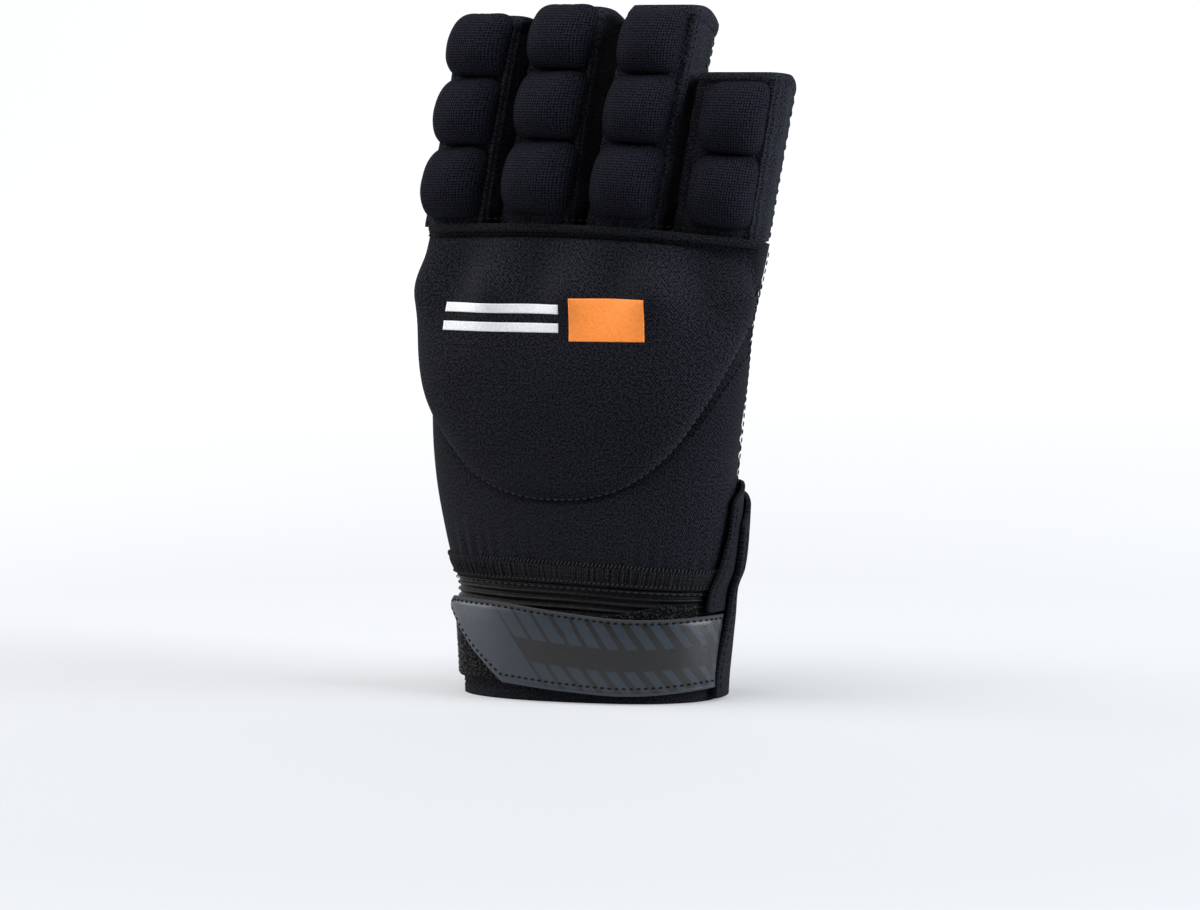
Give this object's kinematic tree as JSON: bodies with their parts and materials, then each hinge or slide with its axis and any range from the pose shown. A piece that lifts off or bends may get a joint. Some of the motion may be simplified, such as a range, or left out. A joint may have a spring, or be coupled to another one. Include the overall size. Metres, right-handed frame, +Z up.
{
  "type": "field hockey glove",
  "caption": "Half-finger field hockey glove with foam finger pads, a foam shield over the back of the hand and a wrist strap, standing on its cuff.",
  "frame": {"origin": "on the surface that the cuff stands on, below the middle of the glove's bounding box", "axes": "+Z up, from the cuff to the finger tips; -Y is the way the back of the hand faces; +X is towards the little finger"},
  "size_m": [0.1272, 0.0864, 0.2193],
  "materials": {
    "neoprene": "matt smooth jersey",
    "knit": "matt fine ribbed knit",
    "grip_fabric": "matt suede-like cloth with raised grip dots",
    "elastic": "woven elastic",
    "loop_pile": "rough loop pile",
    "strap_leather": "glossy printed synthetic leather"
  },
  "bodies": {
    "root": {"hand_back": "neoprene", "palm_panel": "grip_fabric", "back_shield": "neoprene", "knuckle_welt": "neoprene", "thumb_stall": "neoprene", "gathered_hem": "elastic", "elastic_band": "elastic", "wrist_band": "neoprene", "loop_patch": "loop_pile", "wrist_strap": "strap_leather", "side_flap_inner": "neoprene", "side_flap_outer": "neoprene", "index_stall": "knit", "middle_stall": "knit", "ring_stall": "knit", "little_stall": "knit", "index_pad_1": "knit", "index_pad_2": "knit", "index_pad_3": "knit", "middle_pad_1": "knit", "middle_pad_2": "knit", "middle_pad_3": "knit", "ring_pad_1": "knit", "ring_pad_2": "knit", "ring_pad_3": "knit", "little_pad_1": "knit", "little_pad_2": "knit"}
  },
  "joints": []
}
